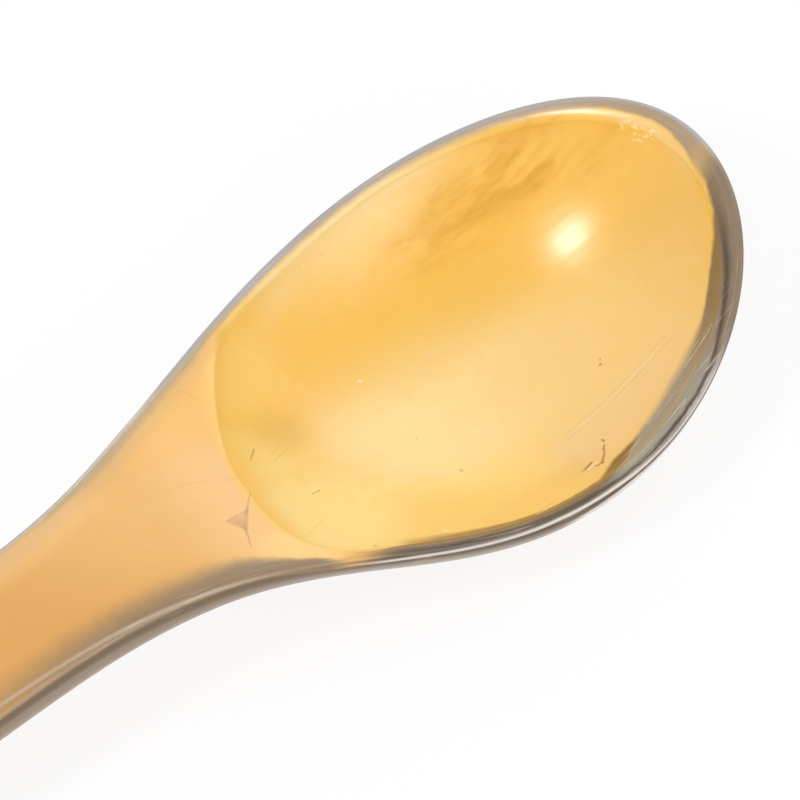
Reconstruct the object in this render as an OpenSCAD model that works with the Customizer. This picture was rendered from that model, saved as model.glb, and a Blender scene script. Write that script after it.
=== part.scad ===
// A caviar spoon carved and polished from one piece of blond horn.
// It lies at rest on the belly of the bowl and on the end of the handle.
// Millimetres, +Z up, tip of the bowl towards +X, origin on the table under the middle of the length.

/* [Whole] */
// Length from the tip of the bowl to the end of the handle
spoon_l = 118; // [100:1:150]

/* [Bowl] */
// Width of the bowl at its widest place
bowl_w = 26.5; // [20:0.5:36]
// Distance from the tip to the widest place
widest_x = 17.4; // [14:0.2:20]
// Thickness of the horn under the deepest place of the hollow
wall_t = 1.5; // [1:0.1:3]
// Width of the polished lip along the sides
lip_w = 1.1; // [0.8:0.1:2]
// Width of the polished lip at the tip
tip_lip_w = 1.6; // [0.8:0.1:2.6]
// How far the outer side of the lip is rounded over
lip_round = 0.5; // [0.2:0.05:0.75]
// How fast the bowl draws in towards the neck, higher is sooner
draw_in = 3.5; // [2:0.1:5]

/* [Hollow] */
// Depth of the hollow under the lip
hollow_depth = 5.2; // [3:0.1:8]
// Distance from the tip to the heel, where the hollow runs out into the neck
heel_x = 36.1; // [33:0.1:42]
// Length of the rounded end of the hollow at the heel
heel_round = 4.6; // [2.5:0.1:6]
// How much longer that round is on the left and shorter on the right, as the carver left it
heel_skew = 0.4; // [0:0.05:0.6]
// Slant of the heel across the spoon
heel_slant = 0.2; // [0:0.02:0.3]

/* [Rim line] */
// Height of the tip above the lowest place of the rim
tip_rise = 4.8; // [0:0.1:7]
// Distance from the tip to the lowest place of the rim
low_x = 21; // [16:0.5:24]
// Height of the neck's crest above the lowest place of the rim
crest_rise = 4; // [1:0.1:6]
// Distance from the tip to the crest
crest_x = 42.2; // [38:0.2:52]
// How far the tip leans to the left
tip_lean = 0.7; // [0:0.1:2]

/* [Neck and handle] */
// Width of the neck at its narrowest place
neck_w = 9.3; // [6:0.1:13]
// Distance from the tip to the narrowest place
neck_x = 56; // [50:0.5:70]
// Thickness of the neck
neck_t = 4.1; // [3:0.1:5.5]
// Width of the handle before its rounded end
handle_w = 11.5; // [8:0.1:15]
// Thickness of the handle at its end
handle_t = 3.6; // [2.5:0.1:5]
// Length of the rounded end of the handle
end_l = 6; // [4:0.2:9]
// How far the long edges of the handle are rounded over
edge_round = 1; // [0.4:0.1:1.2]
// Height of the crown along the middle of the handle's top
crown_h = 0.35; // [0:0.05:0.6]

/* [Hidden] */
// colour of the horn
horn = [0.88, 0.67, 0.36];
// number of steps around the nose, the sides, the heel, the handle and its end
nose_n = 14;
side_n = 16;
heel_n = 10;
handle_n = 34;
end_n = 8;
hollow_n = nose_n + side_n + heel_n;
half_n = hollow_n + handle_n + end_n;
loop_n = 2 * half_n;
// number of steps down the hollow, over the lip, round the edge and under the belly
down_n = 8;
lip_n = 3;
round_n = 4;
belly_n = 8;
// ends of the deepest line of the hollow, from the tip
deep_a = 0.75 * widest_x;
deep_b = widest_x + 4.6;
// where the outline passes the heel, and where the straight handle ends
pass_x = heel_x + 3.3;
arc_x = spoon_l - end_l;
// where the thin wall has become the full thickness of the neck
full_x = heel_x + 9.8;
// drop of the lip's inner shoulder, and how quickly it rises to the top of the lip
shoulder = 0.65 * lip_round;
shoulder_curve = 2.5;
// height of the outer rounding of the lip and of the handle's edge
lip_drop = lip_round;
edge_drop = 0.75 * edge_round;
// fullness of the hollow's section and of the section under the nose, the bowl and the handle
hollow_curve = 2.2;
hollow_full = 0.8;
nose_full = 1.5;
belly_full = 1.85;
handle_full = 3.2;
// where the lip's rounding and the belly's fullness start to turn into those of the handle
round_from = heel_x - 8;
full_from = heel_x - 4;
// height of the lowest place of the rim above the table, and the fall of the handle to the table
rim_h = hollow_depth + wall_t;
handle_fall = crest_rise + rim_h - handle_t;

function clamp(t) = min(max(t, 0), 1);
function ease(t) = clamp(t) * clamp(t) * (3 - 2 * clamp(t));
function late_ease(t) = pow(clamp(t), 3) * (4 - 3 * clamp(t));
function mix(a, b, t) = a + (b - a) * t;

// half width of the outline at a distance from the tip
function nose_half(s) = bowl_w / 2 * sqrt(1 - pow(clamp((widest_x - s) / widest_x), 2));
function draw_share(s) = clamp((s - widest_x) / (neck_x - widest_x));
function draw_half(s) = mix(neck_w, bowl_w, pow(1 - pow(draw_share(s), 2), draw_in)) / 2;
function grip_half(s) = mix(neck_w, handle_w, ease((s - neck_x) / (arc_x - neck_x))) / 2;
function end_cut(s) = sqrt(1 - pow(clamp((s - arc_x) / end_l), 2));
function half_w(s) = s < widest_x ? nose_half(s) : s < neck_x ? draw_half(s) : grip_half(s) * end_cut(s);

// height of the rim line above the table, and its sideways lean
function tip_part(s) = pow(clamp((low_x - s) / low_x), 2);
function rim_z(s) = rim_h + tip_rise * tip_part(s) + crest_rise * ease((s - low_x) / (crest_x - low_x))
    - handle_fall * late_ease((s - crest_x) / (arc_x - crest_x));
function lean_y(s) = tip_lean * tip_part(s);

// a point of the spoon from its distance from the tip, its side distance and its height from the rim line
function place(s, y, z) = [spoon_l / 2 - s, y + lean_y(s), rim_z(s) + z];

// step and side of a place in the loop round the whole outline
function step(k) = k <= half_n ? k : loop_n - k;
function side(k) = k <= half_n ? 1 : -1;

// distance from the tip of the outline, step by step
function outline_s(i) =
    i <= nose_n ? widest_x * (1 - cos(90 * i / nose_n)) :
    i <= nose_n + side_n ? mix(widest_x, heel_x - heel_round, (i - nose_n) / side_n) :
    i <= hollow_n ? mix(heel_x - heel_round, pass_x, (i - nose_n - side_n) / heel_n) :
    i <= hollow_n + handle_n ? mix(pass_x, arc_x, (i - hollow_n) / handle_n) :
    arc_x + end_l * sin(90 * (i - hollow_n - handle_n) / end_n);
function outline(i) = let (s = outline_s(i)) [s, i == 0 || i == half_n ? 0 : half_w(s)];

// middle of the underside that each step of the outline is drawn from
function keel_s(i) =
    i <= nose_n ? deep_a :
    i <= hollow_n ? mix(deep_a, pass_x, (outline_s(i) - widest_x) / (pass_x - widest_x)) :
    i <= hollow_n + handle_n ? outline_s(i) :
    arc_x;

// point of the outline brought in towards the middle
function inset(i, d) = let (c = [keel_s(i), 0], v = outline(i) - c) c + v * (norm(v) - d) / norm(v);

// edge of the hollow: inside the lip round the nose and along the sides, then a slanted round heel
function lip_here(s) = mix(lip_w, tip_lip_w, pow(clamp((widest_x - s) / widest_x), 2));
function heel_turn(i) = 90 * clamp((i - nose_n - side_n) / heel_n);
function heel_len(sd) = heel_round * (1 + sd * heel_skew);
function side_s(i, sd) = mix(inset(nose_n, lip_w)[0], heel_x - heel_len(sd), (i - nose_n) / side_n);
function heel_s(i, sd) = heel_x - heel_len(sd) * (1 - sin(heel_turn(i)));
function hollow_edge(i, sd) =
    i <= nose_n ? inset(i, lip_here(outline_s(i))) :
    i <= nose_n + side_n ? let (s = side_s(i, sd)) [s, half_w(s) - lip_w] :
    i < hollow_n ? let (s = heel_s(i, sd)) [s, (half_w(s) - lip_w) * cos(heel_turn(i))] :
    [heel_x, 0];
function slant(i, y) = heel_slant * y * sin(heel_turn(i));

// middle line of the hollow that each step of its edge is drawn from
function deep_s(i) = mix(deep_a, deep_b, clamp((i - nose_n) / side_n));

// the inner shoulder of the lip fades out to a crisp edge at the heel
function shoulder_here(i) = shoulder * cos(heel_turn(i));

// share of the way from bowl to handle, for the rounding, the fullness and the crown
function to_handle(s, from) = ease((s - from) / (neck_x - from));
function round_here(s) = mix(lip_round, edge_round, to_handle(s, round_from));
function drop_here(s) = mix(lip_drop, edge_drop, to_handle(s, round_from));
function bowl_full(s) = mix(nose_full, belly_full, ease(s / low_x));
function full_here(s) = mix(bowl_full(s), handle_full, to_handle(s, full_from));
function crown_here(s) = crown_h * to_handle(s, heel_x);

// depth of the underside below the rim line along the middle
function solid_t(s) = mix(neck_t, handle_t, ease((s - neck_x) / (arc_x - neck_x)));
function depth_here(s) = mix(rim_h, solid_t(s), ease((s - deep_b) / (full_x - deep_b)));

// middle of the handle's top, which starts at the heel
function top_s(i) = let (s = outline_s(i))
    i <= hollow_n ? heel_x :
    i >= hollow_n + handle_n ? arc_x :
    s - (pass_x - heel_x) * (1 - ease((s - pass_x) / (neck_x - pass_x)));

// points down the hollow, from just off its middle line to its edge
function hollow_point(i, sd, j) = let (r = sin(90 * j / down_n), e = hollow_edge(i, sd), y = sd * e[1] * r,
    s = mix(deep_s(i), e[0], r) - slant(i, y),
    z = -hollow_depth * pow(1 - pow(r, hollow_curve), hollow_full))
    place(s, y, z - shoulder_here(i) * pow(r, 6));
function deep_point(i) = place(deep_s(i), 0, -hollow_depth);

// points over the lip, or over the top of the handle
function top_start(i, sd) =
    i <= hollow_n ? let (e = hollow_edge(i, sd)) [e[0] - slant(i, sd * e[1]), sd * e[1]] :
    [top_s(i), 0];
function top_point(i, sd, j) = let (t = j / lip_n, s = outline_s(i), a = top_start(i, sd),
    b = inset(i, round_here(s)), q = mix(a, [b[0], sd * b[1]], t))
    place(q[0], q[1],
        crown_here(top_s(i)) * (1 - pow(t, 3)) - shoulder_here(i) * pow(1 - t, shoulder_curve));

// points round the edge and under the belly
function edge_point(i, sd, j) = let (s = outline_s(i), a = 90 * j / round_n,
    q = inset(i, round_here(s) * (1 - sin(a)))) place(q[0], sd * q[1], -drop_here(s) * (1 - cos(a)));
function belly_point(i, sd, j) = let (s = outline_s(i), a = 90 * j / belly_n, f = 2 / full_here(s),
    q = mix([keel_s(i), 0], outline(i), pow(cos(a), f)), d = drop_here(s))
    place(q[0], sd * q[1], -d - (depth_here(keel_s(i)) - d) * pow(sin(a), f));

// first number of each run of points
deep_at = 0;
hollow_at = deep_at + side_n + 1;
ridge_at = hollow_at + down_n * 2 * hollow_n;
top_at = ridge_at + handle_n;
edge_at = top_at + lip_n * loop_n;
belly_at = edge_at + round_n * loop_n;
keel_at = belly_at + (belly_n - 1) * loop_n;

// number of the point at a place in a ring
function deep_id(i) = deep_at + min(max(i - nose_n, 0), side_n);
function hollow_id(k, j) = let (i = step(k), m = side(k) > 0 ? i : 2 * hollow_n - i)
    j == 0 ? deep_id(i) : hollow_at + (j - 1) * 2 * hollow_n + m % (2 * hollow_n);
function ring_id(at, k, j) = at + j * loop_n + k % loop_n;
function top_id(k, j) = let (i = step(k % loop_n)) j > 0 ? ring_id(top_at, k, j - 1) :
    i <= hollow_n ? hollow_id(k % loop_n, down_n) :
    ridge_at + min(i - hollow_n, handle_n) - 1;
function edge_id(k, j) = j == 0 ? top_id(k, lip_n) : ring_id(edge_at, k, j - 1);
function keel_id(k) = let (i = step(k % loop_n)) keel_at + min(max(i - nose_n, 0), half_n - end_n - nose_n);
function belly_id(k, j) =
    j == 0 ? edge_id(k, round_n) :
    j == belly_n ? keel_id(k) :
    ring_id(belly_at, k, j - 1);

// two triangles between two neighbours in two rings, leaving out those that close to a line
function fair(t) = t[0] != t[1] && t[1] != t[2] && t[2] != t[0];
function patch(a, b, c, d) = [for (t = [[a, c, b], [a, d, c]]) if (fair(t)) t];

module spoon() {
    points = concat(
        [for (i = [nose_n : nose_n + side_n]) deep_point(i)],
        [for (j = [1 : down_n], m = [0 : 2 * hollow_n - 1])
            m <= hollow_n ? hollow_point(m, 1, j) : hollow_point(2 * hollow_n - m, -1, j)],
        [for (i = [hollow_n + 1 : hollow_n + handle_n]) top_point(i, 1, 0)],
        [for (j = [1 : lip_n], k = [0 : loop_n - 1]) top_point(step(k), side(k), j)],
        [for (j = [1 : round_n], k = [0 : loop_n - 1]) edge_point(step(k), side(k), j)],
        [for (j = [1 : belly_n - 1], k = [0 : loop_n - 1]) belly_point(step(k), side(k), j)],
        [for (i = [nose_n : half_n - end_n]) let (s = keel_s(i)) place(s, 0, -depth_here(s))]
    );
    // the hollow is closed round its own edge, so its loop leaves out the handle
    hollow_steps = concat([for (k = [0 : hollow_n - 1]) [k, k + 1]],
        [for (k = [loop_n - hollow_n : loop_n - 1]) [k, (k + 1) % loop_n]]);
    hollow_faces = [for (j = [0 : down_n - 1], k = hollow_steps)
        each patch(hollow_id(k[0], j), hollow_id(k[0], j + 1), hollow_id(k[1], j + 1), hollow_id(k[1], j))];
    top_faces = [for (j = [0 : lip_n - 1], k = [0 : loop_n - 1])
        each patch(top_id(k, j), top_id(k, j + 1), top_id(k + 1, j + 1), top_id(k + 1, j))];
    edge_faces = [for (j = [0 : round_n - 1], k = [0 : loop_n - 1])
        each patch(edge_id(k, j), edge_id(k, j + 1), edge_id(k + 1, j + 1), edge_id(k + 1, j))];
    belly_faces = [for (j = [0 : belly_n - 1], k = [0 : loop_n - 1])
        each patch(belly_id(k, j), belly_id(k, j + 1), belly_id(k + 1, j + 1), belly_id(k + 1, j))];
    color(horn)
        polyhedron(points, concat(hollow_faces, top_faces, edge_faces, belly_faces), convexity = 4);
}

spoon();
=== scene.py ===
import math
import bpy
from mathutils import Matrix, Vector


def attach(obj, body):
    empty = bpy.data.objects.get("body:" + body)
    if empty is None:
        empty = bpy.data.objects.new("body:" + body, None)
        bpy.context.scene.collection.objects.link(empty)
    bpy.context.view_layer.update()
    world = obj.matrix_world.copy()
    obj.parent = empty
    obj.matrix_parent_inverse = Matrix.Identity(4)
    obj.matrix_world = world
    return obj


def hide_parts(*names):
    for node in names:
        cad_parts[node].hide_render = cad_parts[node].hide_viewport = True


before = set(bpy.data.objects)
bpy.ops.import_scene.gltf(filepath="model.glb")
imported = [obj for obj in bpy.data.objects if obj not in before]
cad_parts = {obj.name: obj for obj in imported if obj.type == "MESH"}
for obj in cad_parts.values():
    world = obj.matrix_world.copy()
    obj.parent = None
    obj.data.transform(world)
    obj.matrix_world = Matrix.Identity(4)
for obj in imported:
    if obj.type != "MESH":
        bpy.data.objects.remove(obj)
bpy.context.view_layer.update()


def paint(red, green, blue):  # a colour as it is seen, 0 to 255
    def linear(value):
        value = value / 255
        return value / 12.92 if value <= 0.04045 else ((value + 0.055) / 1.055) ** 2.4
    return (linear(red), linear(green), linear(blue), 1.0)


class Flow:  # a number travelling through a node tree
    def __init__(self, bench, socket):
        self.bench = bench
        self.socket = socket

    def __add__(self, other):
        return self.bench.math("ADD", self, other)

    def __sub__(self, other):
        return self.bench.math("SUBTRACT", self, other)

    def __rsub__(self, other):
        return self.bench.math("SUBTRACT", other, self)

    def __mul__(self, other):
        return self.bench.math("MULTIPLY", self, other)

    def __truediv__(self, other):
        return self.bench.math("DIVIDE", self, other)

    def __rtruediv__(self, other):
        return self.bench.math("DIVIDE", other, self)

    def __pow__(self, other):
        return self * self if other == 2 else self.bench.math("POWER", self, other)

    __radd__ = __add__
    __rmul__ = __mul__


class Bench:  # where a node tree is put together, from node types, settings and socket values
    def __init__(self, tree):
        self.tree = tree

    def node(self, kind, settings=None, sockets=None):
        item = self.tree.nodes.new(kind)
        for name, value in (settings or {}).items():
            setattr(item, name, value)
        for key, value in (sockets or {}).items():
            self.feed(item.inputs[key], value)
        return item

    def feed(self, target, value):
        if isinstance(value, Flow):
            value = value.socket
        if isinstance(value, bpy.types.NodeSocket):
            self.tree.links.new(value, target)
        else:
            target.default_value = value

    def math(self, operation, *values):
        item = self.node("ShaderNodeMath", {"operation": operation}, dict(enumerate(values)))
        return Flow(self, item.outputs[0])

    def clamp(self, value):
        item = self.node("ShaderNodeMath", {"operation": "ADD", "use_clamp": True}, {0: value, 1: 0.0})
        return Flow(self, item.outputs[0])

    def span(self, kind, value, start, end):
        item = self.node("ShaderNodeMapRange", {"interpolation_type": kind}, {0: value, 1: start, 2: end})
        return Flow(self, item.outputs[0])

    def share(self, value, start, end):  # 0 at start, 1 at end
        return self.span("LINEAR", value, start, end)

    def ease(self, value, start, end):  # the same, with soft ends
        return self.span("SMOOTHSTEP", value, start, end)

    def root(self, value):
        return self.math("SQRT", value)

    def mix(self, a, b, t):
        return a + (b - a) * t

    def vector(self, x, y, z=0.0):
        return self.node("ShaderNodeCombineXYZ", None, {0: x, 1: y, 2: z}).outputs[0]

    def arrow(self, operation, *values):  # vector in, vector out
        item = self.node("ShaderNodeVectorMath", {"operation": operation}, dict(enumerate(values)))
        return item.outputs[0]

    def measure(self, operation, *values):  # vector in, number out
        item = self.node("ShaderNodeVectorMath", {"operation": operation}, dict(enumerate(values)))
        return Flow(self, item.outputs[1])

    def parts(self, vector):
        item = self.node("ShaderNodeSeparateXYZ", None, {0: vector})
        return [Flow(self, item.outputs[k]) for k in range(3)]

    def colour(self, a, b, t):
        item = self.node("ShaderNodeMix", {"data_type": "RGBA"}, {0: t, 6: a, 7: b})
        return item.outputs[2]


# The spoon's form in millimetres, measured from the tip of the bowl

spoonForm = {
    "Length": 118.0,
    "Bowl Width": 26.49,
    "Widest At": 17.4,
    "Wall": 1.5,
    "Lip Width": 1.1,
    "Tip Lip Width": 1.6,
    "Lip Round": 0.5,
    "Draw In": 3.5,
    "Hollow Depth": 5.2,
    "Heel At": 36.1,
    "Heel Round": 4.6,
    "Heel Skew": 0.4,
    "Heel Slant": 0.2,
    "Tip Rise": 4.8,
    "Low At": 21.0,
    "Crest Rise": 4.0,
    "Crest At": 42.2,
    "Tip Lean": 0.7,
    "Neck Width": 9.3,
    "Neck At": 56.0,
    "Neck Thickness": 4.1,
    "Handle Width": 11.5,
    "Handle Thickness": 3.6,
    "End Length": 6.0,
    "Edge Round": 1.0,
    "Crown": 0.35,
}
# the finer points of the form: places in millimetres, shares and powers of its curves
spoonCurves = {
    "keelShare": 0.75,
    "keelPast": 4.6,
    "neckStart": 3.3,
    "neckFull": 9.8,
    "taper": 8.0,
    "underTaper": 4.0,
    "sidesShare": 0.31,
    "shoulder": 0.65,
    "handleDrop": 0.75,
    "noseFull": 1.5,
    "bellyFull": 1.85,
    "handleFull": 3.2,
    "hollowCurve": 2.2,
    "hollowFull": 0.8,
    "shoulderCurve": 6,
    "shoulderFade": 2.5,
}
# steps of the grid: nose, sides, heel, handle and end, then hollow, lip, round edge and belly
loopSteps = (50, 56, 38, 58, 22)
ringSteps = (48, 18, 16, 42)
millimetre = 0.001
weldDistance = 2e-6
borderSlack = 1e-5  # keeps the points on a border of the grid together
tiny = 1e-6  # keeps a division and a power away from nothing


def marksOf(steps):
    return [sum(steps[:k]) / sum(steps) for k in range(len(steps) + 1)]


def carveTree():
    tree = bpy.data.node_groups.new("carveSpoon", "GeometryNodeTree")
    bench = Bench(tree)
    for name, value in spoonForm.items():
        socket = tree.interface.new_socket(name=name, in_out="INPUT", socket_type="NodeSocketFloat")
        socket.default_value = value
    tree.interface.new_socket(name="Horn", in_out="INPUT", socket_type="NodeSocketMaterial")
    tree.interface.new_socket(name="Mesh", in_out="OUTPUT", socket_type="NodeSocketGeometry")
    source = bench.node("NodeGroupInput")
    size = {name: Flow(bench, source.outputs[name]) for name in spoonForm}
    maths, ease, share, mix, root = bench.math, bench.ease, bench.share, bench.mix, bench.root
    curves, quarter = spoonCurves, math.pi / 2

    grid = bench.node("GeometryNodeMeshGrid", None, {
        "Size X": 1.0, "Size Y": 1.0,
        "Vertices X": 2 * sum(loopSteps) + 1, "Vertices Y": sum(ringSteps) + 1})
    place = bench.parts(bench.node("GeometryNodeInputPosition").outputs[0])
    around, across = place[0] + 0.5, place[1] + 0.5
    side = maths("SIGN", 0.5 - around)
    way = 1 - maths("ABSOLUTE", 2 * around - 1)
    loopMarks, ringMarks = marksOf(loopSteps), marksOf(ringSteps)
    nose, sides, heel, grip, tail = [share(way, *ends) for ends in zip(loopMarks, loopMarks[1:])]
    down, over, roll, belly = [share(across, *ends) for ends in zip(ringMarks, ringMarks[1:])]
    onNose = maths("LESS_THAN", way, loopMarks[1] + borderSlack)
    onGrip = maths("GREATER_THAN", way, loopMarks[3] + borderSlack)

    length, widest, heelAt = size["Length"], size["Widest At"], size["Heel At"]
    neckAt, bowl, neck = size["Neck At"], size["Bowl Width"], size["Neck Width"]
    deepA, deepB = widest * curves["keelShare"], widest + curves["keelPast"]
    passAt, fullAt = heelAt + curves["neckStart"], heelAt + curves["neckFull"]
    arcAt = length - size["End Length"]
    rimHeight = size["Hollow Depth"] + size["Wall"]

    def halfWidth(s):
        drawn = (1 - share(s, widest, neckAt) ** 2) ** size["Draw In"]
        grown = (size["Handle Width"] - neck) * ease(s, neckAt, arcAt)
        front = root(1 - share(s, widest, 0) ** 2)
        back = root(1 - share(s, arcAt, length) ** 2)
        return (neck + (bowl - neck) * drawn + grown) / 2 * front * back

    def tipPart(s):
        return share(s, size["Low At"], 0) ** 2

    def rimLine(s):
        late = share(s, size["Crest At"], arcAt)
        fall = (size["Crest Rise"] + rimHeight - size["Handle Thickness"]) * late ** 3 * (4 - 3 * late)
        rise = size["Crest Rise"] * ease(s, size["Low At"], size["Crest At"])
        return rimHeight + size["Tip Rise"] * tipPart(s) + rise - fall

    # the outline, and the middle of the underside that it is drawn from
    lineS = (widest * (1 - maths("COSINE", nose * quarter))
             + (heelAt - size["Heel Round"] - widest) * sides
             + (passAt - heelAt + size["Heel Round"]) * heel
             + (arcAt - passAt) * grip
             + size["End Length"] * maths("SINE", tail * quarter))
    lineY = halfWidth(lineS)
    keelS = (deepA + (passAt - deepA) * share(lineS, widest, passAt)
             + maths("MINIMUM", maths("MAXIMUM", lineS, passAt), arcAt) - passAt)
    reach = root((lineS - keelS) ** 2 + lineY ** 2) + tiny

    def inset(gap):
        part = (reach - gap) / reach
        return keelS + (lineS - keelS) * part, lineY * part

    # the edge of the hollow: inside the lip, then round the heel
    lip = mix(size["Lip Width"], size["Tip Lip Width"], share(lineS, widest, 0) ** 2)
    noseS, noseY = inset(lip)
    heelLength = size["Heel Round"] * (1 + side * size["Heel Skew"])
    turn = heel * quarter
    startS = widest - size["Lip Width"] * curves["sidesShare"]
    edgeS = mix(startS, heelAt - heelLength, sides) + heelLength * maths("SINE", turn)
    edgeY = (halfWidth(edgeS) - size["Lip Width"]) * maths("COSINE", turn)
    edgeS, edgeY = mix(edgeS, noseS, onNose), mix(edgeY, noseY, onNose)
    deepS = mix(deepA, deepB, sides)
    topS = lineS - (passAt - heelAt) * (1 - ease(lineS, passAt, neckAt))
    topS = mix(heelAt, maths("MINIMUM", topS, arcAt), onGrip)
    slant = size["Heel Slant"] * maths("SINE", turn)

    toHandle = ease(lineS, heelAt - curves["taper"], neckAt)
    roundHere = mix(size["Lip Round"], size["Edge Round"], toHandle)
    dropHere = mix(size["Lip Round"], size["Edge Round"] * curves["handleDrop"], toHandle)
    bowlFull = mix(curves["noseFull"], curves["bellyFull"], ease(lineS, 0, size["Low At"]))
    underHandle = ease(lineS, heelAt - curves["underTaper"], neckAt)
    fullness = 2 / mix(bowlFull, curves["handleFull"], underHandle)
    shoulder = curves["shoulder"] * size["Lip Round"] * maths("COSINE", turn)
    crown = size["Crown"] * ease(topS, heelAt, neckAt)
    solid = mix(size["Neck Thickness"], size["Handle Thickness"], ease(keelS, neckAt, arcAt))
    depth = mix(rimHeight, solid, ease(keelS, deepB, fullAt))

    # down the hollow
    sink = maths("SINE", down * quarter)
    hollowY = edgeY * sink * side
    hollowS = mix(deepS, edgeS, sink) - slant * hollowY
    scoop = (1 + tiny - sink ** curves["hollowCurve"]) ** curves["hollowFull"]
    hollowZ = 0 - size["Hollow Depth"] * scoop - shoulder * sink ** curves["shoulderCurve"]
    gripS = mix(hollowS, topS, onGrip)
    hollow = (gripS, mix(hollowY, 0, onGrip), mix(hollowZ, crown, onGrip))
    # over the lip or the top of the handle
    innerS, innerY = inset(roundHere)
    startX = mix(edgeS - slant * edgeY * side, topS, onGrip)
    startY = mix(edgeY * side, 0, onGrip)
    top = (mix(startX, innerS, over), mix(startY, innerY * side, over),
           crown * (1 - over ** 3) - mix(shoulder, 0, onGrip) * (1 - over) ** curves["shoulderFade"])
    # round the edge
    edge = inset(roundHere * (1 - maths("SINE", roll * quarter)))
    edge = (edge[0], edge[1] * side, 0 - dropHere * (1 - maths("COSINE", roll * quarter)))
    # under the belly
    wide = maths("MAXIMUM", maths("COSINE", belly * quarter), 0.0) ** fullness
    under = (mix(keelS, lineS, wide), lineY * wide * side,
             0 - dropHere - (depth - dropHere) * maths("SINE", belly * quarter) ** fullness)

    point = hollow
    for mark, following in zip(ringMarks[1:], (top, edge, under)):
        past = maths("GREATER_THAN", across, mark)
        point = [mix(a, b, past) for a, b in zip(point, following)]
    s, y, z = point
    inward = root((lineS - s) ** 2 + (lineY - y * side) ** 2)
    ring = mix(down, 1, onGrip) + over + roll + belly

    # the handle has no hollow, so its hollow faces go
    spare = maths("GREATER_THAN", way, loopMarks[3]) * maths("LESS_THAN", across, ringMarks[1])
    mesh = bench.node("GeometryNodeDeleteGeometry", {"domain": "FACE"}, {
        "Geometry": grid.outputs["Mesh"], "Selection": spare}).outputs[0]
    for name, value in (("ring", ring), ("inward", inward), ("drop", 0 - z)):
        mesh = bench.node("GeometryNodeStoreNamedAttribute", {"data_type": "FLOAT", "domain": "POINT"}, {
            "Geometry": mesh, "Name": name, "Value": value}).outputs[0]
    leaning = y + size["Tip Lean"] * tipPart(s)
    position = bench.vector((length / 2 - s) * millimetre, leaning * millimetre,
                            (rimLine(s) + z) * millimetre)
    mesh = bench.node("GeometryNodeSetPosition", None, {"Geometry": mesh, "Position": position}).outputs[0]
    mesh = bench.node("GeometryNodeMergeByDistance", None, {
        "Geometry": mesh, "Distance": weldDistance}).outputs[0]
    # the grid is laid with its faces towards the inside
    mesh = bench.node("GeometryNodeFlipFaces", None, {"Mesh": mesh}).outputs[0]
    mesh = bench.node("GeometryNodeSetShadeSmooth", None, {
        "Geometry": mesh, "Shade Smooth": True}).outputs[0]
    mesh = bench.node("GeometryNodeRealizeInstances", None, {"Geometry": mesh}).outputs[0]
    mesh = bench.node("GeometryNodeSetMaterial", None, {
        "Geometry": mesh, "Material": source.outputs["Horn"]}).outputs[0]
    bench.node("NodeGroupOutput", None, {0: mesh})
    return tree


def carveSpoon(horn):
    tree = carveTree()
    seed = bpy.data.objects.new("spoonSeed", bpy.data.meshes.new("spoonSeed"))
    bpy.context.scene.collection.objects.link(seed)
    modifier = seed.modifiers.new("carve", "NODES")
    modifier.node_group = tree
    for item in tree.interface.items_tree:
        if item.in_out == "INPUT":
            modifier[item.identifier] = horn if item.name == "Horn" else spoonForm[item.name]
    evaluated = seed.evaluated_get(bpy.context.evaluated_depsgraph_get())
    mesh = bpy.data.meshes.new_from_object(evaluated)
    seed.modifiers.remove(modifier)
    bpy.data.objects.remove(seed)
    spoon = bpy.data.objects.new("hornSpoon", mesh)
    bpy.context.scene.collection.objects.link(spoon)
    print("spoon carved:", len(mesh.vertices), "points,", len(mesh.polygons), "faces")
    return spoon


# The horn: colours as they are seen, places in millimetres from the tip and from the middle line

hornFinish = {
    "roughness": 0.26,
    "reflection": 1.54,
    "glow": 0.25,
    "glowDepth": 0.0025,
    "grainTilt": 14.0,
    "grainRough": 0.55,
    "strokeEdge": (1.6, 0.3),
    "speckEdge": (1.4, 0.5),
    "waves": 0.00002,
}

hollowLooks = {
    "gold": paint(245, 199, 94),
    "pale": paint(250, 216, 146),
    "light": paint(253, 212, 122),
    "deep": paint(241, 187, 67),
    "streak": paint(222, 166, 46),
    "haze": paint(240, 205, 146),
    "glow": paint(255, 226, 150),
    "olive": paint(222, 178, 86),
    "heel": paint(254, 206, 112),
    "heelOut": paint(251, 193, 93),
}

# the smoky band inside the near lip, from the tip to the side
bandLooks = {
    "tip": paint(135, 111, 77),
    "smoke": paint(154, 146, 132),
    "brown": paint(102, 84, 60),
    "amber": paint(132, 100, 50),
    "junction": paint(78, 62, 42),
}

# the rims' greys and browns are partly the horn's own tint and partly painted reflection and shade, lighter
# on the far rim and darker on the near
rimLooks = {
    "far": paint(160, 161, 167),
    "farInner": paint(177, 161, 145),
    "farTip": paint(170, 146, 113),
    "farBrown": paint(184, 158, 118),
    "farNeck": paint(206, 198, 192),
    "near": paint(133, 116, 94),
    "nearPale": paint(180, 170, 158),
    "paintedHighlight": paint(226, 218, 214),
    "shadow": paint(84, 70, 56),
    "light": paint(255, 240, 208),
}

gripLooks = {
    "gold": paint(238, 184, 92),
    "cream": paint(252, 214, 126),
    "blush": paint(240, 191, 125),
    "peach": paint(229, 178, 101),
    "amber": paint(217, 160, 82),
    "olive": paint(144, 120, 88),
    "ridge": paint(188, 168, 146),
}

sideLooks = {
    "band": paint(118, 96, 70),
    "taupe": paint(146, 122, 94),
    "ash": paint(152, 137, 116),
    "pearl": paint(226, 216, 206),
    "honey": paint(214, 160, 84),
    "streak": paint(150, 108, 56),
}

# the light strokes beside nicks, cracks and fine lines are painted highlights on their raised edges;
# lightMark also colours pale specks
darkMark, softMark, lightMark = paint(146, 98, 28), paint(208, 160, 84), paint(255, 238, 196)
smokeMark, hairMark = paint(176, 130, 92), paint(214, 208, 196)
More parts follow.
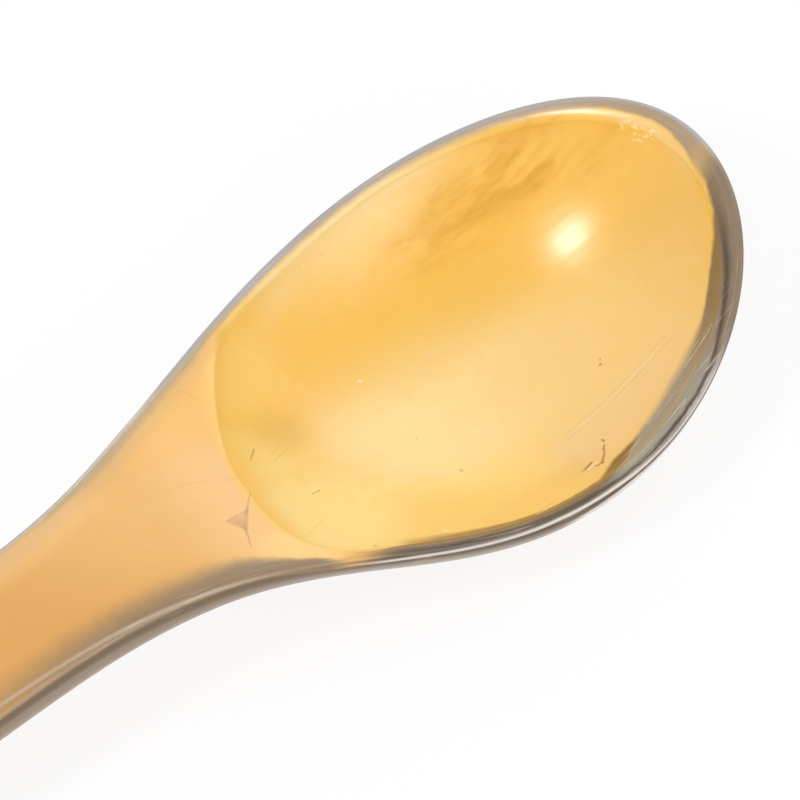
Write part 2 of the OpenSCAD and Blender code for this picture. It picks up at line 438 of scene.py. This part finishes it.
# small marks: from and to, half width at each end, colour, strength and how dull they leave the horn
hornMarks = [
    {"from": (33.05, 2.35), "to": (34.0, 1.5), "wide": (0.06, 0.03), "tint": darkMark, "show": 0.5},
    {"from": (30.7, 2.1), "to": (32.4, 1.35), "wide": (0.05, 0.03), "tint": softMark, "show": 0.3},
    {"from": (31.3, 2.3), "to": (32.3, 1.75), "wide": (0.03, 0.03), "tint": softMark, "show": 0.3},
    {"from": (35.9, -1.0), "to": (37.5, -2.5), "wide": (0.03, 0.08), "tint": smokeMark, "show": 0.5},
    {"from": (38.75, -4.6), "to": (38.15, -3.2), "wide": (0.03, 0.1), "tint": smokeMark, "show": 0.5},
    {"from": (8.3, -6.1), "to": (16.5, -6.5), "wide": (0.03, 0.02), "tint": softMark, "show": 0.4},
    {"from": (9.0, -6.35), "to": (15.5, -6.7), "wide": (0.05, 0.03), "tint": lightMark, "show": 0.25},
    {"from": (8.0, -6.6), "to": (12.6, -6.7), "wide": (0.03, 0.03), "tint": softMark, "show": 0.4},
    {"from": (12.6, -6.85), "to": (16.6, -6.95), "wide": (0.02, 0.03), "tint": softMark, "show": 0.35},
    {"from": (15.37, -8.72), "to": (15.45, -9.0), "wide": (0.1, 0.04),
     "tint": darkMark, "show": 0.7, "dull": 0.4},
    {"from": (15.6, -9.2), "to": (15.95, -9.5), "wide": (0.05, 0.09),
     "tint": darkMark, "show": 0.7, "dull": 0.5},
    {"from": (15.95, -9.65), "to": (16.75, -10.35), "wide": (0.05, 0.09),
     "tint": darkMark, "show": 0.7, "dull": 0.5},
    {"from": (16.95, -10.02), "to": (17.6, -10.1), "wide": (0.1, 0.06), "tint": lightMark, "show": 0.5},
    {"from": (16.75, -10.4), "to": (17.15, -10.25), "wide": (0.11, 0.06),
     "tint": darkMark, "show": 0.75, "dull": 0.6},
    {"from": (17.15, -9.8), "to": (17.95, -9.95), "wide": (0.1, 0.05),
     "tint": darkMark, "show": 0.75, "dull": 0.6},
    {"from": (21.15, -10.96), "to": (22.45, -11.12), "wide": (0.05, 0.03),
     "tint": darkMark, "show": 0.6, "dull": 0.4},
    {"from": (21.3, -11.1), "to": (22.5, -11.24), "wide": (0.07, 0.05), "tint": lightMark, "show": 0.7},
    {"from": (21.5, -11.26), "to": (22.3, -11.36), "wide": (0.05, 0.03), "tint": darkMark, "show": 0.5},
    {"from": (31.0, -1.3), "to": (31.7, -1.45), "wide": (0.05, 0.03), "tint": softMark, "show": 0.7},
    {"from": (30.9, -1.1), "to": (31.5, -1.2), "wide": (0.05, 0.06), "tint": lightMark, "show": 0.6},
    {"from": (32.6, -3.6), "to": (35.4, -5.2), "wide": (0.03, 0.03), "tint": softMark, "show": 0.25},
    {"from": (40.1, 1.5), "to": (36.5, 0.3), "wide": (0.03, 0.02), "tint": softMark, "show": 0.35},
    {"from": (34.9, 7.1), "to": (34.1, 5.5), "wide": (0.1, 0.03), "tint": softMark, "show": 0.3},
    {"from": (31.85, -7.5), "to": (32.0, -8.0), "wide": (0.1, 0.06), "tint": softMark, "show": 0.6},
    {"from": (7.0, -8.75), "to": (9.4, -9.15), "wide": (0.03, 0.03), "tint": hairMark, "show": 0.7},
    {"from": (8.6, -10.35), "to": (10.8, -10.7), "wide": (0.03, 0.02), "tint": hairMark, "show": 0.5},
    {"from": (11.3, -11.5), "to": (13.4, -11.85), "wide": (0.03, 0.03), "tint": hairMark, "show": 0.7},
]
# tiny specks: place, radius and colour
hornSpecks = [
    {"at": (11.35, -3.75), "radius": 0.06, "tint": darkMark},
    {"at": (11.65, -4.1), "radius": 0.1, "tint": darkMark},
    {"at": (23.2, 4.5), "radius": 0.13, "tint": lightMark},
    {"at": (22.5, -4.2), "radius": 0.08, "tint": darkMark},
    {"at": (22.9, -0.5), "radius": 0.06, "tint": softMark},
    {"at": (27.3, -8.5), "radius": 0.16, "tint": lightMark},
    {"at": (27.0, -8.25), "radius": 0.07, "tint": softMark},
    {"at": (20.6, 11.3), "radius": 0.06, "tint": softMark},
    {"at": (22.1, 11.2), "radius": 0.08, "tint": lightMark},
]


# measures that change along the spoon: the value at the tip, then from, to and change
bandShape = {
    "width": (1.2, [(0.5, 5.5, 0.95), (6, 11, 0.45), (12, 15, -0.1),
                    (16, 18.4, -0.95), (20, 29, 0.9), (29.5, 33.5, -1.5)]),
    "soft": (0.12, [(6, 9, 0.34), (12, 15, -0.26), (17, 19, -0.05), (24, 31, 0.4)]),
    "line": (1.22, [(3, 9.5, -0.87), (17, 20, 0.15), (26, 29, -0.3)]),
    "lineStart": (0.25, [(14, 18, 0.4)]),
    "step": (-2.55, [(14, 18, 1.8), (18, 23, 0.2)]),
}
farShape = {
    "width": (0.86, [(8, 13, -0.08), (26, 32, 0.08), (42, 50, -0.45)]),
    "soft": (0.12, [(1, 6, 0.16)]),
}
gripShape = {
    "shade": (0.4, [(35, 40, 1.25)]),
    "soft": (0.2, [(37, 44, 0.85)]),
    "ridge": (0.12, [(38, 44, 0.23), (44, 60, 0.6)]),
}
sideShape = {
    "line": (0.15, [(22, 33, 0.28), (18, 13, 0.13)]),
    "lineWidth": (0.12, [(23, 28, 0.04)]),
    "under": (0.18, [(22, 27, 0.1)]),
    "pearl": (0.38, [(17, 21, 0.3)]),
}
# the edge between the hollow's colour and the neck's: its place, its middle and its bend to either side
heelLine = {"at": 36.85, "middle": -3.3, "reach": 10, "farBend": 7.0, "nearBend": 6.0}
# the three-cornered fleck in the neck
fleckCorners = [(38.85, -2.2), (37.1, -2.25), (38.2, -3.55)]


class Plan(Bench):  # a shader measured in millimetres on the spoon's own plan
    def __init__(self, tree):
        super().__init__(tree)
        x, y, z = self.parts(self.node("ShaderNodeTexCoord").outputs["Object"])
        x, y, z = [value * (1 / millimetre) for value in (x, y, z)]
        self.s, self.y, self.z = spoonForm["Length"] / 2 - x, y, z
        self.place = self.vector(self.s, self.y, self.z)
        self.flat = self.vector(self.s, self.y)
        self.ring, self.inward, self.drop = [self.attribute(name) for name in ("ring", "inward", "drop")]
        self.near, self.far = self.ease(self.y, 0.8, -2.2), self.ease(self.y, 0, 2.5)
        self.wobble = self.noise((1.0, 1.0, 1.0), 7.0, 2.0) - 0.5

    def attribute(self, name):
        return Flow(self, self.node("ShaderNodeAttribute", {"attribute_name": name}).outputs["Fac"])

    def turned(self, place, tilt, scales):  # how far a place lies along and across a tilted line
        turn = math.radians(tilt)
        along = (math.cos(turn) * scales[0], math.sin(turn) * scales[0], 0)
        across = (-math.sin(turn) * scales[1], math.cos(turn) * scales[1], 0)
        return self.measure("DOT_PRODUCT", place, along), self.measure("DOT_PRODUCT", place, across)

    def noise(self, scales, shift=0.0, detail=2.0, tilt=hornFinish["grainTilt"]):
        along, across = self.turned(self.place, tilt, scales)
        place = self.vector(along + shift, across, self.z * scales[2])
        return Flow(self, self.node("ShaderNodeTexNoise", None, {
            "Vector": place, "Scale": 1.0, "Detail": detail,
            "Roughness": hornFinish["grainRough"]}).outputs["Fac"])

    def blob(self, centre, radii, tilt=0.0, soft=0.5):  # an oval with a soft edge
        away = self.arrow("SUBTRACT", self.flat, (*centre, 0))
        reach = self.measure("LENGTH", self.vector(*self.turned(away, tilt, (1 / radii[0], 1 / radii[1]))))
        return self.ease(reach + self.wobble * soft, 1 + soft, 1 - soft)

    def fibres(self, along, across, seed):  # noise drawn out along the rim
        place = self.vector(self.s * along, self.inward * across, seed)
        noise = self.node("ShaderNodeTexNoise", None, {"Vector": place, "Scale": 1.0, "Detail": 3.0})
        return Flow(self, noise.outputs["Fac"])

    def stroke(self, mark, place):  # a line that thins from one end to the other
        start, end, wide = mark["from"], mark["to"], mark["wide"]
        run = (end[0] - start[0], end[1] - start[1], 0)
        square = run[0] ** 2 + run[1] ** 2
        away = self.arrow("SUBTRACT", place, (*start, 0))
        t = self.clamp(self.measure("DOT_PRODUCT", away, (run[0] / square, run[1] / square, 0)))
        foot = self.node("ShaderNodeVectorMath", {"operation": "SCALE"}, {0: run, "Scale": t}).outputs[0]
        gap = self.measure("DISTANCE", away, foot)
        return self.ease(gap / (wide[0] + t * (wide[1] - wide[0])), *hornFinish["strokeEdge"])

    def speck(self, entry, place):
        gap = self.measure("DISTANCE", place, (*entry["at"], 0))
        return self.ease(gap, *[entry["radius"] * part for part in hornFinish["speckEdge"]])

    def beyond(self, start, end, soft=0.06):  # 1 on the left of a line from start to end
        run = (end[0] - start[0], end[1] - start[1])
        size = math.hypot(*run)
        away = self.arrow("SUBTRACT", self.flat, (*start, 0))
        return self.ease(self.measure("DOT_PRODUCT", away, (-run[1] / size, run[0] / size, 0)), -soft, soft)

    def ridge(self, value, middle, half):  # 1 in the middle, 0 at half a width to either side
        return self.ease(self.math("ABSOLUTE", value - middle), half, 0)

    def profile(self, shape, kind="LINEAR"):  # a measure that changes along the spoon
        value, changes = shape
        for first, last, change in changes:
            value = value + self.span(kind, self.s, first, last) * change
        return value

    def smooth(self, shape):
        return self.profile(shape, "SMOOTHSTEP")

    def patches(self, base, looks, entries):  # ovals of colour, one over the other
        for tint, centre, radii, tilt, soft, show in entries:
            base = self.colour(base, looks[tint], self.blob(centre, radii, tilt, soft) * show)
        return base


# ovals of the hollow: colour, middle, radii, tilt, softness and strength
bowlPatches = [
    # painted light over the near wall towards the heel
    ("light", (26, -6.5), (9, 4.5), 0, 0.6, 0.8),
    ("haze", (12.8, -8.2), (7.2, 3), -8, 0.5, 0.85),
]
floorPatches = [
    ("olive", (4.4, -2.2), (3.2, 4.2), 0, 0.5, 0.3),
    ("olive", (21.5, -9.4), (4, 1.1), 0, 0.6, 0.35),
    # the pale ovals: partly the horn's paler tone and partly painted reflection
    ("pale", (18.4, 9.2), (4.2, 1.4), 0, 0.7, 0.5),
    ("pale", (18, -0.8), (12, 4.6), 12, 0.55, 1.0),
    ("olive", (10, -1.5), (8.5, 5.5), 0, 0.7, 0.3),
]
heelPatches = [
    # painted light: the glow ovals brighten the heel wall against its shade
    ("glow", (33.2, -4.2), (5, 4.4), -20, 0.5, 1.0),
    ("glow", (33, 1.6), (2.6, 2.2), -20, 0.6, 0.5),
    ("light", (31, 7), (3.6, 2.6), -30, 0.6, 0.8),
    ("deep", (31.6, 9.6), (2.6, 1.1), -28, 0.4, 0.7),
    ("olive", (30.3, 3.2), (1.9, 1.3), 0, 0.8, 0.45),
    ("olive", (18, 4.2), (7, 2.2), 0, 0.7, 0.28),
]


def hollowColour(plan):
    looks, colour, ease = hollowLooks, plan.colour, plan.ease
    base = plan.patches(looks["gold"], looks, bowlPatches)
    # a paler strip under the far lip, partly the horn's tone and partly painted reflection
    upper = ease(plan.inward + plan.wobble, 3.6, 1.2) * plan.far * ease(plan.s, 8, 15) * ease(plan.s, 29, 24)
    base = colour(base, looks["pale"], upper * 0.9)
    # painted light along the inner edge of the far lip, lifting its shade
    base = colour(base, rimLooks["light"], plan.ridge(plan.inward, 1.25, 0.35) * upper * 0.3)
    base = plan.patches(base, looks, floorPatches)
    # the pale floor ends in a straight edge towards the heel, a painted reflection edge
    edge = plan.beyond((29.5, -1.3), (18, -6.7), 0.5) * ease(plan.s, 17, 20) * ease(plan.s, 32, 28)
    base = colour(base, looks["light"], edge * 0.6)
    belt = plan.blob((12, 6.5), (9, 3), 14, 0.6) + plan.blob((26, 6.2), (8, 2.2), -14, 0.6) * 0.6
    base = colour(base, looks["deep"], plan.clamp(belt) * 0.7)
    base = plan.patches(base, looks, heelPatches)
    strip = plan.ridge(plan.inward, 1.3, 0.6) * plan.far * plan.ridge(plan.s, 30, 4)
    base = colour(base, looks["pale"], strip * 0.5)
    # amber wisps in the upper side of the bowl
    wisps = ease(plan.noise((0.24, 0.9, 0.3), 12.0, 3.0, 6.0), 0.4, 0.6)
    fine = ease(plan.noise((0.4, 2.8, 0.4), 5.0, 3.0, 5.0), 0.44, 0.62)
    patch = plan.blob((10.9, 8.6), (5.6, 1.7), 4, 0.6)
    tail = plan.blob((5.6, 6.0), (3.4, 1.2), 32, 0.6)
    return colour(base, looks["streak"], plan.clamp((wisps * 0.6 + fine * 0.35) * (patch + tail * 0.6)))


def bandColour(plan, base):  # the smoky inside of the near lip
    looks, colour, ease = bandLooks, plan.colour, plan.ease
    s, near = plan.s, plan.near
    inward = plan.inward + plan.wobble * 0.2
    wide, soft = plan.smooth(bandShape["width"]), plan.smooth(bandShape["soft"])
    tint = colour(looks["tip"], looks["smoke"], ease(s, 5, 11))
    # the brown bank starts with a slanting step where the smoky part thins out
    bank = ease(inward + plan.profile(bandShape["step"]), -0.12, 0.12) * ease(s, 13.6, 14.6)
    tint = colour(tint, looks["brown"], ease(s, 16, 20))
    tint = colour(tint, looks["amber"], bank)
    base = colour(base, tint, ease(inward, wide + soft, wide - soft) * near * ease(s, 35.1, 31.4))
    lineAt = plan.profile(bandShape["line"])
    outer = ease(inward, lineAt * plan.profile(bandShape["lineStart"]), lineAt)
    line = outer * ease(inward, lineAt * 1.2 + 0.14, lineAt)
    base = colour(base, looks["junction"], line * near * ease(s, 1, 4) * ease(s, 33, 29))
    strip = ease(inward, lineAt, lineAt * 0.4) * near
    base = colour(base, rimLooks["near"], strip * ease(s, 10, 7) * 0.9)
    gleam = ease(inward, 0.3, 0.12) * near * ease(s, 6, 9) * ease(s, 13, 11)
    return colour(base, rimLooks["nearPale"], gleam)


def farRimColour(plan, base):
    looks, colour, ease = rimLooks, plan.colour, plan.ease
    s, far, inward = plan.s, 1 - plan.near, plan.inward + plan.wobble * 0.15
    wide, soft = plan.smooth(farShape["width"]), plan.smooth(farShape["soft"])
    wide = wide + plan.share(plan.y, 3, -1.5) * 0.65 + ease(plan.y, 7, 5) * 0.06
    outer = colour(looks["far"], looks["farNeck"], ease(s, 35, 38) * ease(s, 62, 46))
    inner = colour(looks["farInner"], looks["farTip"], ease(plan.y, 9, 4.5))
    inner = colour(inner, looks["farBrown"], ease(s, 26, 30))
    tint = colour(outer, inner, ease(inward, 0.12, 0.6))
    base = colour(base, looks["farBrown"], ease(inward, 2.3, 0.8) * far * ease(s, 28, 33) * 0.33)
    # a painted glint just inside the lip at the tip
    edge = plan.ridge(inward, wide + 0.35, 0.45) * far * ease(s, 3.2, 2.2)
    base = colour(base, hollowLooks["haze"], edge * 0.5)
    # the far rim's grey: partly the horn's tint and partly painted reflection
    base = colour(base, tint, ease(inward, wide + soft, wide - soft) * far)
    dots = ease(plan.noise((3.6, 3.6, 3.6), 17.0, 3.0), 0.52, 0.64)
    return colour(base, looks["light"], dots * plan.blob((2.2, 3.8), (1.3, 0.4), 68, 0.2) * 0.5)


def beyondHeel(plan):  # how far past the heel's colour edge, and how soft that edge is
    up, down = [plan.share(plan.y, heelLine["middle"], way * heelLine["reach"]) for way in (1, -1)]
    line = heelLine["at"] - up * up * heelLine["farBend"] - down * down * heelLine["nearBend"]
    soft = plan.ease(plan.y, 2, 6) * 1.4 + 0.2
    return plan.s - line + plan.wobble * 0.2, soft


def gripColour(plan):
    looks, colour, ease = gripLooks, plan.colour, plan.ease
    s, y, inward = plan.s, plan.y, plan.inward
    base = colour(looks["gold"], looks["blush"], ease(s, 34.5, 36.5) * ease(y, 6, 1) * 0.9)
    base = colour(base, looks["peach"], ease(s, 37.5, 42))
    base = colour(base, looks["amber"], ease(s - y * 0.8, 41, 53))
    base = colour(base, looks["cream"], plan.blob((36, -6.2), (2.6, 1.8), 20, 0.4) * 0.5)
    cloud = ease(plan.noise((0.2, 0.6, 0.3), 2.0), 0.4, 0.7)
    base = colour(base, looks["blush"], cloud * 0.2 * ease(s, 48, 40))
    base = colour(base, looks["blush"], ease(inward, 3.2, 0.8) * plan.far * ease(s, 41, 46) * 0.8)
    # the painted shade, olive, that grows along the near edge of the neck
    reach, soft = plan.profile(gripShape["shade"]), plan.profile(gripShape["soft"])
    inward = inward + plan.wobble * 0.3
    shade = ease(inward, reach + soft, reach - soft) * plan.near * ease(s, 33.5, 36) * ease(s, 72, 44)
    base = colour(base, looks["olive"], shade)
    # a painted highlight along the near edge of the neck's top
    ridge = plan.ridge(plan.inward, plan.profile(gripShape["ridge"]), 0.2) * plan.near * ease(s, 37, 43)
    return colour(base, looks["ridge"], ridge * 0.85)


def sideColour(plan, base):
    looks, colour, ease = sideLooks, plan.colour, plan.ease
    s, drop, ring, near = plan.s, plan.drop, plan.ring, plan.near
    # the painted highlight line and the painted shade lines beside it, along the near edge of the bowl
    outside = ease(ring, 1.7, 2.0) * near * ease(s, 7, 10)
    lineAt = plan.profile(sideShape["line"])
    below = colour(looks["band"], looks["taupe"], ease(drop, 0.6, 1.1))
    below = colour(below, looks["ash"], ease(drop, 0.9, 1.6) * ease(s, 40, 30))
    pearl = ease(drop - plan.profile(sideShape["pearl"]), 0, 0.15) * ease(s, 22, 20) * ease(s, 9, 11)
    below = colour(below, looks["pearl"], pearl * near)
    below = colour(below, looks["honey"], ease(drop, 1.7, 3.4))
    grain = ease(plan.noise((0.12, 1.4, 1.4), 9.0, 3.0), 0.48, 0.7)
    below = colour(below, looks["streak"], grain * 0.3 * ease(drop, 0.4, 1.2))
    start = plan.ridge(s, 35.5, 4.5) * 0.3
    base = colour(base, below, ease(drop - start, 0.16, 0.34) * ease(ring, 1.7, 2.0))
    under = plan.ridge(drop, lineAt + plan.profile(sideShape["under"]), 0.18)
    over = plan.ridge(drop, lineAt - 0.19, 0.15) * ease(s, 24, 29)
    fade = ease(s, 37, 32)
    base = colour(base, rimLooks["shadow"], plan.clamp(under + over) * outside * fade * 0.85)
    line = plan.ridge(drop, lineAt, plan.profile(sideShape["lineWidth"]))
    # a painted highlight along the round of the near lip
    return colour(base, rimLooks["paintedHighlight"], line * outside * ease(s, 35, 32))


def hornMaterial():
    finish = hornFinish
    material = bpy.data.materials.new("blondHorn")
    material.use_nodes = True
    material.node_tree.nodes.clear()
    plan = Plan(material.node_tree)
    ease, colour, s = plan.ease, plan.colour, plan.s

    # the hollow and the neck, then the band and the rim along the edge, then the side
    past, soft = beyondHeel(plan)
    inside = ease(past, -2.9, -0.2) * ease(plan.y, 4, 1) * ease(plan.y, -5.9, -3.8)
    base = colour(hollowColour(plan), hollowLooks["heel"], inside)
    # painted light along the crease at the edge of the hollow, against its shade
    base = colour(base, hollowLooks["glow"], plan.ridge(plan.ring, 0.975, 0.06) * ease(s, 9, 14) * 0.5)
    outside = ease(plan.ring, 0.99, 1.01) * ease(s, 31, 33) * ease(plan.y, 4, 1)
    base = colour(base, hollowLooks["heelOut"], outside)
    base = colour(base, gripColour(plan), ease(past / soft, -1, 1))
    base = bandColour(plan, base)
    base = farRimColour(plan, base)
    base = sideColour(plan, base)

    # hairlines left along the rim by the scraper
    lines = plan.fibres(0.22, 6.5, 3.0)
    onRim = ease(plan.inward, 1.3, 0.8) * ease(s, 60, 45) * ease(plan.y * plan.y, 1, 4)
    base = colour(base, rimLooks["light"], ease(lines, 0.58, 0.74) * onRim * 0.3)
    base = colour(base, rimLooks["shadow"], ease(lines, 0.42, 0.28) * onRim * 0.2)

    # the smoky fleck in the neck
    fleck = 1.0
    for corner, following in zip(fleckCorners, fleckCorners[1:] + fleckCorners[:1]):
        fleck = plan.beyond(corner, following) * fleck
    base = colour(base, smokeMark, fleck * (plan.wobble * 0.8 + 0.42))

    # the marks, shaken a little so that they aren't ruled lines
    dull = 0.0
    drift = plan.noise((2.2, 2.2, 2.2), 1.0, 3.0) - 0.5
    shaken = plan.arrow("ADD", plan.flat, plan.vector(drift * 0.3, drift * -0.3))
    for mark in hornMarks:
        line = plan.stroke(mark, shaken)
        base = colour(base, mark["tint"], line * mark["show"])
        if "dull" in mark:
            dull = dull + line * mark["dull"]
    for entry in hornSpecks:
        base = colour(base, entry["tint"], plan.speck(entry, shaken) * 0.6)
    # fine hairlines left by polishing on the smoky band
    onBand = ease(plan.inward, 2.6, 2.0) * plan.near * ease(s, 4, 7) * ease(s, 18, 15)
    hairs = ease(plan.noise((0.3, 6.0, 0.3), 21.0, 2.0, -12.0), 0.57, 0.7) * onBand
    base = colour(base, hairMark, hairs * 0.45)
    waves = plan.noise((0.25, 0.9, 0.4), 13.0, 1.0)
    bump = plan.node("ShaderNodeBump", None, {
        "Height": waves, "Strength": 1.0, "Distance": finish["waves"]})
    gloss = finish["roughness"] + drift * 0.05 + plan.clamp(dull) * 0.15
    shader = plan.node("ShaderNodeBsdfPrincipled", None, {
        "Base Color": base, "Roughness": gloss, "IOR": finish["reflection"], "Normal": bump.outputs[0],
        "Subsurface Weight": finish["glow"], "Subsurface Scale": finish["glowDepth"],
        "Subsurface Radius": (1.0, 0.6, 0.25)})
    plan.node("ShaderNodeOutputMaterial", None, {"Surface": shader.outputs[0]})
    print("horn coloured:", len(material.node_tree.nodes), "nodes")
    return material


horn = hornMaterial()
spoon = carveSpoon(horn)
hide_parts("spoon")
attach(spoon, "root")

# The table, the light and the camera

studio = {
    "aim": (0.039, 0.0, 0.0067),
    "turn": 39.27,
    "height": 57.1,
    "distance": 0.6268,
    "lens": 473.7,
    "sensor": 36,
    "offset": (-0.00294, -0.00233),
    "tableSize": 3.0,
    "table": paint(250, 250, 250),
    "white": (1, 1, 1, 1),
    "tableGlow": 0.88,
    "sky": 0.56,
    "lamps": [
        {"name": "softLamp", "toward": (-0.6, 0.045, 0.77), "away": 0.6,
         "size": (0.09, 0.155), "power": 1.37},
        {"name": "frontCard", "toward": (0.25, -0.74, 0.63), "away": 0.8,
         "size": (0.5, 0.5), "power": 1.2},
        {"name": "backCard", "toward": (0.75, 0.42, 0.5), "away": 0.7,
         "size": (0.9, 0.9), "power": 1.5},
    ],
}


def seenPlainly(bench):  # 1 for the camera and for what mirrors and glass show of the backdrop
    path = bench.node("ShaderNodeLightPath").outputs
    plainly = Flow(bench, path["Is Camera Ray"]) + path["Is Glossy Ray"] + path["Is Transmission Ray"]
    return bench.clamp(plainly)


def layTable():
    half = studio["tableSize"] / 2
    mesh = bpy.data.meshes.new("table")
    corners = [(-half, -half, 0), (half, -half, 0), (half, half, 0), (-half, half, 0)]
    mesh.from_pydata(corners, [], [(0, 1, 2, 3)])
    table = bpy.data.objects.new("table", mesh)
    bpy.context.scene.collection.objects.link(table)
    material = bpy.data.materials.new("whiteTable")
    material.use_nodes = True
    material.node_tree.nodes.clear()
    bench = Bench(material.node_tree)
    white = bench.node("ShaderNodeBsdfDiffuse", None, {"Color": studio["table"]})
    glow = bench.node("ShaderNodeEmission", None, {"Color": studio["white"], "Strength": 1.0})
    factor = seenPlainly(bench) * studio["tableGlow"]
    both = bench.node("ShaderNodeMixShader", None, {0: factor, 1: white.outputs[0], 2: glow.outputs[0]})
    bench.node("ShaderNodeOutputMaterial", None, {"Surface": both.outputs[0]})
    mesh.materials.append(material)


def hangLamps():
    middle = Vector(studio["aim"])
    for entry in studio["lamps"]:
        lamp = bpy.data.lights.new(entry["name"], "AREA")
        lamp.shape = "ELLIPSE"
        lamp.size, lamp.size_y = entry["size"]
        lamp.energy = entry["power"]
        holder = bpy.data.objects.new(entry["name"], lamp)
        toward = Vector(entry["toward"]).normalized()
        holder.location = middle + toward * entry["away"]
        holder.rotation_euler = toward.to_track_quat("Z", "Y").to_euler()
        bpy.context.scene.collection.objects.link(holder)
    world = bpy.context.scene.world or bpy.data.worlds.new("studio")
    bpy.context.scene.world = world
    world.use_nodes = True
    world.node_tree.nodes.clear()
    bench = Bench(world.node_tree)
    sky = bench.node("ShaderNodeBackground", None, {"Color": studio["white"], "Strength": studio["sky"]})
    plain = bench.node("ShaderNodeBackground", None, {"Color": studio["white"], "Strength": 1.0})
    factor = seenPlainly(bench)
    both = bench.node("ShaderNodeMixShader", None, {0: factor, 1: sky.outputs[0], 2: plain.outputs[0]})
    bench.node("ShaderNodeOutputWorld", None, {"Surface": both.outputs[0]})


def setCamera():
    turn, height = math.radians(studio["turn"]), math.radians(studio["height"])
    right = Vector((math.cos(turn), -math.sin(turn), 0))
    ahead = Vector((math.sin(turn), math.cos(turn), 0))
    up = ahead * math.sin(height) + Vector((0, 0, math.cos(height)))
    back = Vector((0, 0, math.sin(height))) - ahead * math.cos(height)
    camera = bpy.data.cameras.new("camera")
    camera.lens = studio["lens"]
    camera.sensor_width = studio["sensor"]
    holder = bpy.data.objects.new("camera", camera)
    middle = Vector(studio["aim"]) + right * studio["offset"][0] + up * studio["offset"][1]
    holder.location = middle + back * studio["distance"]
    holder.rotation_euler = back.to_track_quat("Z", "Y").to_euler()
    bpy.context.scene.collection.objects.link(holder)
    bpy.context.scene.camera = holder


layTable()
hangLamps()
setCamera()
bpy.context.scene.view_settings.view_transform = "Standard"
print("studio set")
